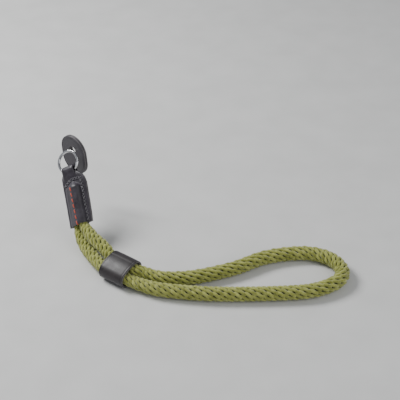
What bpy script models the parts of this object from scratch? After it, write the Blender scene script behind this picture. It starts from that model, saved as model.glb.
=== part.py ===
"""Camera wrist strap: a loop of thick braided cotton rope with a leather keeper, a leather
end tab, a steel split ring and a long leather guard, lying as it does beside a camera.

Metres, +Z up. The origin is the top of the ring's inside, where the camera's lug holds it.
The table top is at TABLE_Z.
"""
import bpy
import bmesh
import math
from mathutils import Matrix, Vector

# Driving dimensions (metres, unless the name says otherwise)
MM = 0.001
TABLE_Z = -47.0 * MM
GAP = 0.30 * MM                  # space kept between touching pieces

# End tab: folded over the ring, sewn round both ends of the rope
TAB_DOWN = (0.196, -0.727, -0.658)       # along the tab, away from the ring
TAB_ACROSS = (0.870, -0.182, 0.459)
TAB_LENGTH = 37.3 * MM           # tunnel axis to mouth
TAB_REACH = 10.8 * MM            # middle to the right edge at its widest
FOLD_RADIUS = 3.35 * MM
FOLD_HALF = 4.8 * MM             # half the width of the fold
TUNNEL_RADIUS = 2.25 * MM
FLANGE_HALF = 1.45 * MM          # half the thickness of the two layers where they are sewn
POCKET_WALL = 1.1 * MM
POCKET_START = 13.1 * MM
MOUTH_FLARE = 0.35 * MM          # the pocket opens by this at the mouth
POCKET_TURN_DEG = 25.0           # the two rope ends lie turned by this in the pocket
POCKET_DRIFT = 0.8 * MM          # the pocket slants to the left by this, down to the mouth

# Split ring: two flat turns joined by a short jog
RING_RADIUS = 7.3 * MM           # to the middle of the wire
WIRE_W, WIRE_T = 1.30 * MM, 0.70 * MM
WIRE_CORNER = 0.22 * MM
RING_TURN_GAP = 0.12 * MM
RING_JOG_DEG = 30.0              # arc of the jog, half way along the wire
RING_TILT_DEG = 5.0
RING_OFFSET = 6.35 * MM          # tunnel axis to ring centre
LUG_ALONG, LUG_ACROSS = 6.09 * MM, 2.64 * MM

# Guard: a long round-ended leather patch behind the ring, with a hole for the lug
GUARD_WIDE = 22.4 * MM
GUARD_TOP = 10.4 * MM            # above the lug
GUARD_BOTTOM = 18.0 * MM         # below the lug
GUARD_THICK = 2.8 * MM
GUARD_HOLE = 3.0 * MM
GUARD_SET_BACK = 2.5 * MM
GUARD_AZIMUTH_DEG = 46.0

# Keeper: a leather sleeve round both legs of the rope
KEEPER_WIDE, KEEPER_TALL = 19.8 * MM, 11.5 * MM
KEEPER_WALL = 1.2 * MM
KEEPER_LENGTH = 19.0 * MM
KEEPER_AT = (32.8 * MM, -76.0 * MM)
KEEPER_AZIMUTH_DEG = -40.0
KEEPER_ROLL_DEG = 15.0

# Rope
ROPE_RADIUS = 4.7 * MM
LEG_RADIUS = 3.90 * MM           # squeezed in the keeper
LEG_GAP = 0.30 * MM
TUBE_STEP = 5.9 * MM


def unit(v):
    return Vector(v).normalized()


DOWN = unit(TAB_DOWN)
ACROSS = Vector(TAB_ACROSS)
ACROSS = (ACROSS - DOWN * ACROSS.dot(DOWN)).normalized()
FACE = DOWN.cross(ACROSS)                            # out of the tab's front
TILT = math.radians(RING_TILT_DEG)
RING_UP = (-DOWN * math.cos(TILT) - FACE * math.sin(TILT)).normalized()
HINGE = -(RING_UP * (RING_OFFSET + LUG_ALONG) + ACROSS * LUG_ACROSS)
MOUTH = HINGE + DOWN * TAB_LENGTH

KEEPER_AXIS = Vector((math.cos(math.radians(KEEPER_AZIMUTH_DEG)),
                      math.sin(math.radians(KEEPER_AZIMUTH_DEG)), 0))
KEEPER_SIDE = Vector((-KEEPER_AXIS.y, KEEPER_AXIS.x, 0))
ROLL = math.radians(KEEPER_ROLL_DEG)
KEEPER_LEGS = KEEPER_SIDE * math.cos(ROLL) + Vector((0, 0, math.sin(ROLL)))
KEEPER_Z = TABLE_Z + (KEEPER_WIDE - KEEPER_TALL) / 2 * math.sin(ROLL) + KEEPER_TALL / 2 + 0.1 * MM
KEEPER_CENTRE = Vector((*KEEPER_AT, KEEPER_Z))


def frame_matrix(x, y, z, at):
    m = Matrix((x, y, z)).transposed().to_4x4()
    m.translation = at
    return m


# Scene set-up
for old in list(bpy.data.objects):
    bpy.data.objects.remove(old, do_unlink=True)
strap = bpy.data.collections.new("camera_wrist_strap")
cutters = bpy.data.collections.new("cutters")
cutters.hide_render = True
for c in (strap, cutters):
    bpy.context.scene.collection.children.link(c)


def material(name, colour, roughness, metallic=0.0):
    mat = bpy.data.materials.new(name)
    mat.use_nodes = True
    p = mat.node_tree.nodes["Principled BSDF"]
    p.inputs["Base Color"].default_value = (*colour, 1)
    p.inputs["Roughness"].default_value = roughness
    p.inputs["Metallic"].default_value = metallic
    return mat


olive_rope = material("olive_rope", (0.155, 0.160, 0.062), 0.9)
tab_leather = material("tab_leather", (0.030, 0.028, 0.033), 0.45)
keeper_leather = material("keeper_leather", (0.022, 0.020, 0.021), 0.35)
guard_leather = material("guard_leather", (0.028, 0.027, 0.030), 0.55)
ring_steel = material("ring_steel", (0.70, 0.70, 0.72), 0.15, 1.0)


def put(name, data, mat, collection=strap):
    ob = bpy.data.objects.new(name, data)
    collection.objects.link(ob)
    if mat is not None:
        data.materials.append(mat)
    return ob


def smoothstep(a, b, x):
    t = min(1.0, max(0.0, (x - a) / (b - a)))
    return t * t * (3 - 2 * t)


def between(table, x):
    """A value read off a short table of (x, value) pairs."""
    if x <= table[0][0]:
        return table[0][1]
    for (x0, y0), (x1, y1) in zip(table, table[1:]):
        if x <= x1:
            t = (x - x0) / (x1 - x0)
            return y0 + (y1 - y0) * t
    return table[-1][1]


def loft(name, rings, mat, collection=strap):
    """One closed body through rings of equal length, with a flat cap at each end."""
    bm = bmesh.new()
    rows = [[bm.verts.new(p) for p in ring] for ring in rings]
    count = len(rows[0])
    for low, high in zip(rows, rows[1:]):
        for i in range(count):
            j = (i + 1) % count
            bm.faces.new((low[i], low[j], high[j], high[i]))
    bm.faces.new(rows[0][::-1])
    bm.faces.new(rows[-1])
    bmesh.ops.recalc_face_normals(bm, faces=bm.faces)
    mesh = bpy.data.meshes.new(name)
    bm.to_mesh(mesh)
    bm.free()
    return put(name, mesh, mat, collection)


def cut(ob, cutter, name):
    mod = ob.modifiers.new(name, "BOOLEAN")
    mod.operation = "DIFFERENCE"
    mod.solver = "EXACT"
    mod.object = cutter
    cutter.display_type = "WIRE"
    cutter.hide_render = True


def smooth(ob, angle_deg=40):
    for p in ob.data.polygons:
        p.use_smooth = True
    ob.data.set_sharp_from_angle(angle=math.radians(angle_deg))


# Rope radius in the pocket, squeezed flat there, against the distance down the tab
POCKET_LEG = ((POCKET_START + 0.4 * MM, 0.553 * ROPE_RADIUS), (0.67 * TAB_LENGTH, 0.574 * ROPE_RADIUS),
              (TAB_LENGTH, 0.617 * ROPE_RADIUS))
TURN = math.radians(POCKET_TURN_DEG)
POCKET_LEGS = ACROSS * math.cos(TURN) + FACE * math.sin(TURN)


def leg_radius(v):
    return between(POCKET_LEG, v)


def pocket_middle(v):
    """Place of the pocket's middle across the tab."""
    return -POCKET_DRIFT * (v - POCKET_START) / (TAB_LENGTH - POCKET_START)


# Hinge empty on the axis the ring turns about: X along the axis, Z up the tab
hinge = bpy.data.objects.new("ring_hinge", None)
hinge.empty_display_size = 0.01
strap.objects.link(hinge)
hinge.matrix_world = frame_matrix(ACROSS, -FACE, -DOWN, HINGE)
TAB_FRAME = hinge.matrix_world.copy()


# End tab, in its own frame: X across, -Y out of the front, Z up towards the ring
# Each edge's reach from the middle as a share of TAB_REACH, against the share of the way down the tab
LEFT_EDGE = ((0.043, 0.444), (0.064, 0.556), (0.107, 0.611), (0.214, 0.639), (0.483, 0.694), (1.0, 0.796))
RIGHT_EDGE = ((0.043, 0.444), (0.059, 0.648), (0.080, 0.806), (0.121, 0.898), (0.201, 0.981),
              (0.295, 1.0), (0.456, 0.954), (0.804, 0.870), (1.0, 0.787))


def block_reach(angle, left, right, half, power=5.0):
    side = right if math.cos(angle) > 0 else left
    return ((abs(math.cos(angle)) / side) ** power + (abs(math.sin(angle)) / half) ** power) ** (-1 / power)


def pair_reach(angle, e, r, middle=0.0):
    """Distance along a ray to the outline drawn round two circles at +-e from the middle."""
    near, far = 0.0, 20 * MM
    for _ in range(22):
        mid = (near + far) / 2
        x, y = mid * math.cos(angle) - middle, mid * math.sin(angle)
        along = max(-e, min(e, x * math.cos(TURN) + y * math.sin(TURN)))
        inside = math.hypot(x - along * math.cos(TURN), y - along * math.sin(TURN)) < r
        near, far = (mid, far) if inside else (near, mid)
    return near


def soft_max(a, b, blend):
    return 0.5 * (a + b + math.sqrt((a - b) ** 2 + blend * blend))


def tab_outline(v, count=64):
    """The tab's cross-section at distance v down from the tunnel axis."""
    if v < 0:
        half = math.sqrt(max(0.0, FOLD_RADIUS ** 2 - v * v))
    else:
        half = FLANGE_HALF + (FOLD_RADIUS - FLANGE_HALF) * (1 - smoothstep(0.5 * MM, 9.0 * MM, v))
    half = max(half, 0.35 * MM)
    left, right = (between(edge, v / TAB_LENGTH) * TAB_REACH for edge in (LEFT_EDGE, RIGHT_EDGE))
    swell = smoothstep(7.0 * MM, 12.2 * MM, v)
    r = leg_radius(v)
    points = []
    for i in range(count):
        t = 2 * math.pi * i / count
        angle = math.atan2(0.5 * math.sin(t), math.cos(t))
        reach = block_reach(angle, FOLD_HALF, FOLD_HALF, half)
        flange = block_reach(angle, left, right, min(half, FLANGE_HALF))
        reach = soft_max(reach, flange, 1.2 * MM * smoothstep(2.5 * MM, 6 * MM, v))
        if swell > 0:
            over = pair_reach(angle, (r + LEG_GAP / 2) * swell, (r + GAP + POCKET_WALL) * swell,
                              pocket_middle(v) * swell)
            reach = soft_max(reach, over, 0.5 * MM * swell)
        points.append((reach * math.cos(angle), -reach * math.sin(angle), -v))
    return points


def stations(first, last, step):
    count = max(1, round((last - first) / step))
    return [first + (last - first) * i / count for i in range(count + 1)]


fold = [-FOLD_RADIUS * math.cos(math.radians(a)) for a in range(6, 91, 12)]
levels = fold + [v * MM for v in (0.8, 1.6, 2.0, 2.6, 3.2, 4, 5, 6, 7, 8, 9, 10, 11, 12.2)]
levels += stations(POCKET_START + 0.6 * MM, TAB_LENGTH, 2.4 * MM)
end_tab = loft("end_tab", [tab_outline(v) for v in levels], tab_leather)
end_tab.matrix_world = TAB_FRAME

tunnel_cut = bpy.data.meshes.new("tunnel_cut")
bm = bmesh.new()
bmesh.ops.create_cone(bm, cap_ends=True, segments=32, radius1=TUNNEL_RADIUS, radius2=TUNNEL_RADIUS,
                      depth=3 * TAB_REACH, matrix=Matrix.Rotation(math.pi / 2, 4, "Y"))
bm.to_mesh(tunnel_cut)
bm.free()
tunnel_cut = put("tunnel_cut", tunnel_cut, None, cutters)
tunnel_cut.matrix_world = TAB_FRAME


def pocket_outline(v, count=48):
    r = leg_radius(v)
    flare = MOUTH_FLARE * smoothstep(0.8 * TAB_LENGTH, TAB_LENGTH, v)
    points = []
    for i in range(count):
        angle = 2 * math.pi * i / count + TURN
        reach = pair_reach(angle, r + LEG_GAP / 2, r + GAP + flare)
        points.append((pocket_middle(v) + reach * math.cos(angle), -reach * math.sin(angle), -v))
    return points


pocket_levels = stations(POCKET_START, TAB_LENGTH + 2 * MM, 2.9 * MM)
pocket_cut = loft("pocket_cut", [pocket_outline(v) for v in pocket_levels], None, cutters)
pocket_cut.matrix_world = TAB_FRAME
cut(end_tab, tunnel_cut, "tunnel")
cut(end_tab, pocket_cut, "pocket")
smooth(end_tab)


# Split ring: a flat wire, bent round twice, that jogs from one turn to the other
def wire_section():
    curve = bpy.data.curves.new("wire_section", "CURVE")
    curve.dimensions = "2D"
    curve.fill_mode = "NONE"
    spline = curve.splines.new("POLY")
    points = []
    for sx, sy in ((1, 1), (-1, 1), (-1, -1), (1, -1)):
        x, y = WIRE_W / 2, WIRE_T / 2
        ends = [(sx * x, sy * (y - WIRE_CORNER)), (sx * (x - WIRE_CORNER), sy * y)]
        points += ends if sx * sy > 0 else ends[::-1]
    points.reverse()
    spline.points.add(len(points) - 1)
    for p, (x, y) in zip(spline.points, points):
        p.co = (x, y, 0, 1)
    spline.use_cyclic_u = True
    return put("wire_section", curve, None, cutters)


def ring_path():
    rise = (WIRE_T + RING_TURN_GAP) / 2
    points = []
    for degrees in range(20, 701, 5):
        z = rise * (2 * smoothstep(360 - RING_JOG_DEG / 2, 360 + RING_JOG_DEG / 2, degrees) - 1)
        a = math.radians(degrees)
        points.append((RING_RADIUS * math.cos(a), RING_RADIUS * math.sin(a), z))
    return points


def wire_curve(name, points, mat, radii=None, depth=0.0, resolution=2, section=None, twist="MINIMUM"):
    curve = bpy.data.curves.new(name, "CURVE")
    curve.dimensions = "3D"
    curve.twist_mode = twist
    curve.use_fill_caps = True
    if section is None:
        curve.bevel_depth = depth
        curve.bevel_resolution = resolution
    else:
        curve.bevel_mode = "OBJECT"
        curve.bevel_object = section
    spline = curve.splines.new("POLY")
    spline.points.add(len(points) - 1)
    for i, (p, co) in enumerate(zip(spline.points, points)):
        p.co = (*co, 1)
        p.radius = radii[i] if radii else 1.0
    spline.use_smooth = True
    return put(name, curve, mat)


split_ring = wire_curve("split_ring", ring_path(), ring_steel, section=wire_section(), twist="Z_UP")
split_ring.parent = hinge
RING_CENTRE = HINGE + RING_UP * RING_OFFSET
ring_axis = ACROSS.cross(RING_UP)
split_ring.matrix_basis = TAB_FRAME.inverted() @ frame_matrix(ACROSS, RING_UP, ring_axis, RING_CENTRE)


# Guard: a long patch with round ends and a round hole, drawn flat and extruded
def outline_spline(curve, points):
    spline = curve.splines.new("POLY")
    spline.points.add(len(points) - 1)
    for p, (x, y) in zip(spline.points, points):
        p.co = (x, y, 0, 1)
    spline.use_cyclic_u = True


def stadium(half_long, radius, middle=0.0, steps=18):
    """Points round a stadium whose long way is Y."""
    points = []
    for side in (1, -1):
        for i in range(steps + 1):
            a = math.pi * i / steps
            points.append((side * radius * math.cos(a), middle + side * (half_long + radius * math.sin(a))))
    return points


facing = math.radians(180 + GUARD_AZIMUTH_DEG)
GUARD_FACE = Vector((math.cos(facing), math.sin(facing), 0))
guard_side = Vector((0, 0, 1)).cross(GUARD_FACE)
guard_curve = bpy.data.curves.new("guard_patch", "CURVE")
guard_curve.dimensions = "2D"
guard_curve.fill_mode = "BOTH"
guard_curve.extrude = GUARD_THICK / 2
outline_spline(guard_curve, stadium((GUARD_TOP + GUARD_BOTTOM - GUARD_WIDE) / 2, GUARD_WIDE / 2,
                                    (GUARD_TOP - GUARD_BOTTOM) / 2))
outline_spline(guard_curve, stadium(0, GUARD_HOLE, steps=16))
guard_patch = put("guard_patch", guard_curve, guard_leather)
guard_patch.parent = hinge
guard_patch.matrix_basis = TAB_FRAME.inverted() @ frame_matrix(
    guard_side, GUARD_FACE.cross(guard_side), GUARD_FACE, -GUARD_FACE * (GUARD_SET_BACK + GUARD_THICK / 2))
caps = guard_patch.modifiers.new("caps", "WELD")
caps.merge_threshold = 0.00001
ease = guard_patch.modifiers.new("eased_edges", "BEVEL")
ease.width = 0.45 * MM
ease.segments = 3
ease.limit_method = "ANGLE"
ease.angle_limit = math.radians(50)


# Keeper: the outline of the sleeve, drawn flat and extruded along its length
keeper_curve = bpy.data.curves.new("keeper", "CURVE")
keeper_curve.dimensions = "2D"
keeper_curve.fill_mode = "BOTH"
keeper_curve.extrude = KEEPER_LENGTH / 2
for inset in (0, KEEPER_WALL):
    outline_spline(keeper_curve, stadium((KEEPER_WIDE - KEEPER_TALL) / 2, KEEPER_TALL / 2 - inset, steps=12))
keeper = put("keeper", keeper_curve, keeper_leather)
keeper.matrix_world = frame_matrix(KEEPER_LEGS.cross(KEEPER_AXIS), KEEPER_LEGS, KEEPER_AXIS, KEEPER_CENTRE)
weld = keeper.modifiers.new("caps", "WELD")
weld.merge_threshold = 0.00001
rim = keeper.modifiers.new("eased_rims", "BEVEL")
rim.width = 0.35 * MM
rim.segments = 2
rim.limit_method = "ANGLE"
rim.angle_limit = math.radians(50)


# Rope route: pocket, keeper, loop, keeper, pocket. Each leg lies beside the other where both pass.
def pocket_leg(side):
    return [(HINGE + DOWN * v + ACROSS * pocket_middle(v) + POCKET_LEGS * side * (r + LEG_GAP / 2), r)
            for v, r in POCKET_LEG]


# Between tab and keeper: middle of the pair, the way the second leg lies from the first, radius
NECK = (((8.4, -41.2, -36.9), (0.62, -0.25, 0.74), 3.9),
        ((12.3, -49.0, -38.8), (0.62, -0.05, 0.78), 4.4),
        ((16.6, -55.8, -39.2), (0.66, 0.15, 0.70), 4.5),
        ((21.0, -62.7, -39.9), (0.67, 0.45, 0.52), 4.3))


def neck_leg(side):
    return [(Vector(p) * MM + unit(way) * side * (r * MM + LEG_GAP / 2), r * MM) for p, way, r in NECK]


def keeper_leg(side):
    return [(KEEPER_CENTRE + KEEPER_AXIS * along + KEEPER_LEGS * side * (LEG_RADIUS + LEG_GAP / 2), LEG_RADIUS)
            for along in (-10.5 * MM, 0, 10.5 * MM)]


# Round the loop from the near leg to the far leg: x, y and radius in mm; it lies on the table
LOOP = ((42.9, -88.1, 4.15), (49.1, -91.5, 4.35), (55.5, -94.4, 4.55),
        (87.5, -101.3, 4.7), (141.5, -104.0, 4.7), (151.5, -102.7, 4.7),
        (160.0, -99.4, 4.7), (166.5, -94.8, 4.7), (169.7, -88.0, 4.7), (168.4, -80.4, 4.7),
        (164.0, -73.8, 4.7), (156.5, -68.8, 4.7), (146.5, -66.4, 4.7), (124.5, -68.8, 4.7),
        (103.0, -78.5, 4.7), (78.5, -84.7, 4.7), (67.5, -85.1, 4.65), (59.5, -84.2, 4.5))
# Clearance over the table in mm, by place in the loop
LIFT = ((0, 0.9), (1, 0.5), (2, 0.2), (3, 0.0), (16, 0.0), (17, 0.3))


def loop_points():
    return [(Vector((x, y, 0)) * MM + Vector((0, 0, TABLE_Z + (r + between(LIFT, i)) * MM)), r * MM)
            for i, (x, y, r) in enumerate(LOOP)]


FAR_LEG = (((53.0, -82.4, -41.7), 4.35), ((47.3, -80.1, -40.5), 4.15))
ROUTE = pocket_leg(-1) + neck_leg(-1) + keeper_leg(-1) + loop_points()
ROUTE += [(Vector(p) * MM, r * MM) for p, r in FAR_LEG]
ROUTE += keeper_leg(1)[::-1] + neck_leg(1)[::-1] + pocket_leg(1)[::-1]


def smooth_route(route, per_span=14):
    """Centripetal Catmull-Rom curve through the route, as points with their radii."""
    rows = [Vector((*p, r)) for p, r in route]
    rows = [2 * rows[0] - rows[1]] + rows + [2 * rows[-1] - rows[-2]]
    out = []
    for p0, p1, p2, p3 in zip(rows, rows[1:], rows[2:], rows[3:]):
        t0 = 0.0
        t1 = t0 + math.sqrt((p1 - p0).length)
        t2 = t1 + math.sqrt((p2 - p1).length)
        t3 = t2 + math.sqrt((p3 - p2).length)
        for k in range(per_span):
            t = t1 + (t2 - t1) * k / per_span
            a1 = p0 * ((t1 - t) / (t1 - t0)) + p1 * ((t - t0) / (t1 - t0))
            a2 = p1 * ((t2 - t) / (t2 - t1)) + p2 * ((t - t1) / (t2 - t1))
            a3 = p2 * ((t3 - t) / (t3 - t2)) + p3 * ((t - t2) / (t3 - t2))
            b1 = a1 * ((t2 - t) / (t2 - t0)) + a2 * ((t - t0) / (t2 - t0))
            b2 = a2 * ((t3 - t) / (t3 - t1)) + a3 * ((t - t1) / (t3 - t1))
            out.append(b1 * ((t2 - t) / (t2 - t1)) + b2 * ((t - t1) / (t2 - t1)))
    return out + [rows[-2]]


def evenly(points, count):
    """The same curve read at equal steps of length."""
    lengths = [0.0]
    for a, b in zip(points, points[1:]):
        lengths.append(lengths[-1] + (b - a).to_3d().length)
    out, k = [], 0
    for i in range(count):
        s = lengths[-1] * i / (count - 1)
        while k < len(points) - 2 and lengths[k + 1] < s:
            k += 1
        t = min(1.0, max(0.0, (s - lengths[k]) / (lengths[k + 1] - lengths[k])))
        out.append(points[k].lerp(points[k + 1], t))
    return out


line = smooth_route(ROUTE)
ROPE_LENGTH = sum((b - a).to_3d().length for a, b in zip(line, line[1:]))
tube = evenly(line, round(ROPE_LENGTH / TUBE_STEP) + 1)
rope = wire_curve("rope", [p[:3] for p in tube], olive_rope, radii=[p[3] / ROPE_RADIUS for p in tube],
                  depth=ROPE_RADIUS, resolution=4)

bpy.context.view_layer.update()
print("rope length along its middle: %.0f mm in %d route points" % (ROPE_LENGTH / MM, len(ROUTE)))
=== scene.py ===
# %% [markdown]
# Camera wrist strap: the looks
# The CAD part is loaded as a fixed frame, in metres. Around it come a rope of braided strands with
# loose fibres, a grained leather tab and keeper with sewn threads, a leather guard and a steel ring.

# %% Load the frame, with its placement applied to the meshes
import math
import bpy
import bmesh
from mathutils import Matrix, Vector
from mathutils.bvhtree import BVHTree


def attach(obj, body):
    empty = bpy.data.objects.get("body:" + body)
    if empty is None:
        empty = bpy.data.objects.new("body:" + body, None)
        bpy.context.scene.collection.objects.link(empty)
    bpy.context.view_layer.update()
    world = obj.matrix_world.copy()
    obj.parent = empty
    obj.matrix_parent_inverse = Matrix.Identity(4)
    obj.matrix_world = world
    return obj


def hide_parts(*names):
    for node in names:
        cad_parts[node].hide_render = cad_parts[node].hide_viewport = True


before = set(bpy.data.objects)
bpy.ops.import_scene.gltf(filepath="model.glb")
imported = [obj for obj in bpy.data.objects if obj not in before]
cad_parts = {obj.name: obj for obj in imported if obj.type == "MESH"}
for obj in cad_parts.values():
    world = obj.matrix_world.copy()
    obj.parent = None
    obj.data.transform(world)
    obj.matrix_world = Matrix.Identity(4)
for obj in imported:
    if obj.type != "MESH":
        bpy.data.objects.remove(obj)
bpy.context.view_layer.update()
MM = 0.001
TABLE_Z = -47.0 * MM

# %% [markdown]
# The camera looks down at the strap from the photo's angle, turned a little about its own axis.

# %% Camera
PITCH_DOWN_DEG, ROLL_DEG, LENS_MM = 35.08, -2.92, 90.0
CAMERA_AT = Vector((0.0845, -0.562, 0.3506))
camera_data = bpy.data.cameras.new("camera")
camera_data.lens = LENS_MM
camera_data.sensor_width = 36.0
camera = bpy.data.objects.new("camera", camera_data)
bpy.context.scene.collection.objects.link(camera)
pitch = Matrix.Rotation(math.radians(90 - PITCH_DOWN_DEG), 4, "X")
turn = pitch @ Matrix.Rotation(math.radians(ROLL_DEG), 4, "Z")
camera.matrix_world = Matrix.Translation(CAMERA_AT) @ turn
bpy.context.scene.camera = camera

# %% [markdown]
# The tab, the ring and the keeper each have a frame of directions, the same as in the CAD.
# The rope's route is the CAD's list of chosen points, with those in the tab and keeper worked out.

# %% Directions and sizes shared with the CAD
DOWN = Vector((0.196, -0.727, -0.658)).normalized()
ACROSS = Vector((0.870, -0.182, 0.459))
ACROSS = (ACROSS - DOWN * ACROSS.dot(DOWN)).normalized()
FACE = DOWN.cross(ACROSS)
TAB_LENGTH, FOLD_RADIUS, FOLD_HALF = 37.3 * MM, 3.35 * MM, 4.8 * MM
TAB_REACH, TUNNEL_DEPTH = 10.8 * MM, 30 * MM
TUNNEL_RADIUS, FLANGE_HALF, POCKET_WALL = 2.25 * MM, 1.45 * MM, 1.1 * MM
POCKET_START, GAP = 13.1 * MM, 0.30 * MM
TURN = math.radians(25.0)
RING_RADIUS, WIRE_W, WIRE_T, RING_TURN_GAP = 7.3 * MM, 1.30 * MM, 0.70 * MM, 0.12 * MM
RING_JOG_DEG = 30
RING_OFFSET, LUG_ALONG, LUG_ACROSS = 6.35 * MM, 6.09 * MM, 2.64 * MM
TILT = math.radians(5.0)
RING_UP = (-DOWN * math.cos(TILT) - FACE * math.sin(TILT)).normalized()
HINGE = -(RING_UP * (RING_OFFSET + LUG_ALONG) + ACROSS * LUG_ACROSS)
KEEPER_WIDE, KEEPER_TALL, KEEPER_WALL, KEEPER_LENGTH = 19.8 * MM, 11.5 * MM, 1.2 * MM, 19.0 * MM
KEEPER_AXIS = Vector((math.cos(math.radians(-40)), math.sin(math.radians(-40)), 0))
KEEPER_ROLL = math.radians(15.0)
KEEPER_SIDE = Vector((-KEEPER_AXIS.y, KEEPER_AXIS.x, 0))
KEEPER_LEGS = KEEPER_SIDE * math.cos(KEEPER_ROLL) + Vector((0, 0, math.sin(KEEPER_ROLL)))
KEEPER_Z = TABLE_Z + (KEEPER_WIDE - KEEPER_TALL) / 2 * math.sin(KEEPER_ROLL) + KEEPER_TALL / 2 + 0.1 * MM
KEEPER_CENTRE = Vector((32.8 * MM, -76.0 * MM, KEEPER_Z))
ROPE_RADIUS, LEG_RADIUS, LEG_GAP = 4.7 * MM, 3.90 * MM, 0.30 * MM
POCKET_LEG = ((POCKET_START + 0.4 * MM, 0.553 * ROPE_RADIUS), (0.67 * TAB_LENGTH, 0.574 * ROPE_RADIUS),
              (TAB_LENGTH, 0.617 * ROPE_RADIUS))
POCKET_DRIFT, MOUTH_FLARE = 0.8 * MM, 0.35 * MM
NECK = (((8.4, -41.2, -36.9), (0.62, -0.25, 0.74), 3.9),
        ((12.3, -49.0, -38.8), (0.62, -0.05, 0.78), 4.4),
        ((16.6, -55.8, -39.2), (0.66, 0.15, 0.70), 4.5),
        ((21.0, -62.7, -39.9), (0.67, 0.45, 0.52), 4.3))
LOOP = ((42.9, -88.1, 4.15), (49.1, -91.5, 4.35), (55.5, -94.4, 4.55),
        (87.5, -101.3, 4.7), (141.5, -104.0, 4.7), (151.5, -102.7, 4.7),
        (160.0, -99.4, 4.7), (166.5, -94.8, 4.7), (169.7, -88.0, 4.7), (168.4, -80.4, 4.7),
        (164.0, -73.8, 4.7), (156.5, -68.8, 4.7), (146.5, -66.4, 4.7), (124.5, -68.8, 4.7),
        (103.0, -78.5, 4.7), (78.5, -84.7, 4.7), (67.5, -85.1, 4.65), (59.5, -84.2, 4.5))
LIFT = ((0, 0.9), (1, 0.5), (2, 0.2), (3, 0.0), (16, 0.0), (17, 0.3))
FAR_LEG = (((53.0, -82.4, -41.7), 4.35), ((47.3, -80.1, -40.5), 4.15))


def matrix(x, y, z, at):
    m = Matrix((x, y, z)).transposed().to_4x4()
    m.translation = at
    return m


TAB_FRAME = matrix(ACROSS, -FACE, -DOWN, HINGE)


def between(table, x):
    if x <= table[0][0]:
        return table[0][1]
    for (x0, y0), (x1, y1) in zip(table, table[1:]):
        if x <= x1:
            return y0 + (y1 - y0) * (x - x0) / (x1 - x0)
    return table[-1][1]


def smoothstep(a, b, x):
    t = min(1.0, max(0.0, (x - a) / (b - a)))
    return t * t * (3 - 2 * t)


def pocket_middle(v):
    return -POCKET_DRIFT * (v - POCKET_START) / (TAB_LENGTH - POCKET_START)


# %% [markdown]
# One smooth curve runs through the route: out of the tab, through the keeper, round the loop and back.

# %% The rope's middle line
def route_points():
    def pocket(side):
        legs = ACROSS * math.cos(TURN) + FACE * math.sin(TURN)
        return [(HINGE + DOWN * v + ACROSS * pocket_middle(v) + legs * side * (r + LEG_GAP / 2), r)
                for v, r in POCKET_LEG]

    def neck(side):
        return [(Vector(p) * MM + Vector(w).normalized() * side * (r * MM + LEG_GAP / 2), r * MM) for p, w,
                r in NECK]

    def in_keeper(side):
        away = KEEPER_LEGS * side * (LEG_RADIUS + LEG_GAP / 2)
        return [(KEEPER_CENTRE + KEEPER_AXIS * x + away, LEG_RADIUS) for x in (-10.5 * MM, 0, 10.5 * MM)]

    loop = [(Vector((x * MM, y * MM, TABLE_Z + (r + between(LIFT, i)) * MM)), r * MM)
            for i, (x, y, r) in enumerate(LOOP)]
    far = [(Vector(p) * MM, r * MM) for p, r in FAR_LEG]
    return (pocket(-1) + neck(-1) + in_keeper(-1) + loop + far
            + in_keeper(1)[::-1] + neck(1)[::-1] + pocket(1)[::-1])


def smooth_route(route, per_span=24):
    """Centripetal Catmull-Rom curve through points with radii."""
    rows = [Vector((*p, r)) for p, r in route]
    rows = [2 * rows[0] - rows[1]] + rows + [2 * rows[-1] - rows[-2]]
    out = []
    for p0, p1, p2, p3 in zip(rows, rows[1:], rows[2:], rows[3:]):
        t1 = math.sqrt((p1 - p0).length)
        t2 = t1 + math.sqrt((p2 - p1).length)
        t3 = t2 + math.sqrt((p3 - p2).length)
        for k in range(per_span):
            t = t1 + (t2 - t1) * k / per_span
            a1 = p0 * ((t1 - t) / t1) + p1 * (t / t1)
            a2 = p1 * ((t2 - t) / (t2 - t1)) + p2 * ((t - t1) / (t2 - t1))
            a3 = p2 * ((t3 - t) / (t3 - t2)) + p3 * ((t - t2) / (t3 - t2))
            b1 = a1 * ((t2 - t) / t2) + a2 * (t / t2)
            b2 = a2 * ((t3 - t) / (t3 - t1)) + a3 * ((t - t1) / (t3 - t1))
            out.append(b1 * ((t2 - t) / (t2 - t1)) + b2 * ((t - t1) / (t2 - t1)))
    return out + [rows[-2]]


line = smooth_route(route_points())


# %% [markdown]
# Small helpers make objects, node trees and plain meshes from Geometry Nodes.

# %% Helpers
def put(name, data, mat=None):
    ob = bpy.data.objects.new(name, data)
    bpy.context.scene.collection.objects.link(ob)
    if mat is not None:
        data.materials.append(mat)
    return ob


class Tree:
    """Adds nodes to a tree with plain values or sockets as inputs."""

    def __init__(self, tree):
        self.tree = tree

    def add(self, kind, values=None, **settings):
        node = self.tree.nodes.new(kind)
        for key, value in settings.items():
            setattr(node, key, value)
        for key, value in (values or {}).items():
            socket = node.inputs[key]
            if isinstance(value, bpy.types.NodeSocket):
                self.tree.links.new(value, socket)
            else:
                socket.default_value = value
        return node

    def math(self, operation, a, b=0.0, c=0.0):
        return self.add("ShaderNodeMath", {0: a, 1: b, 2: c}, operation=operation).outputs[0]

    def scale(self, vector, by):
        return self.add("ShaderNodeVectorMath", {0: vector, "Scale": by}, operation="SCALE").outputs[0]

    def remap(self, x, a, b, kind="LINEAR"):
        node = self.add("ShaderNodeMapRange", {"Value": x, "From Min": a, "From Max": b},
                        interpolation_type=kind)
        return node.outputs[0]


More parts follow.
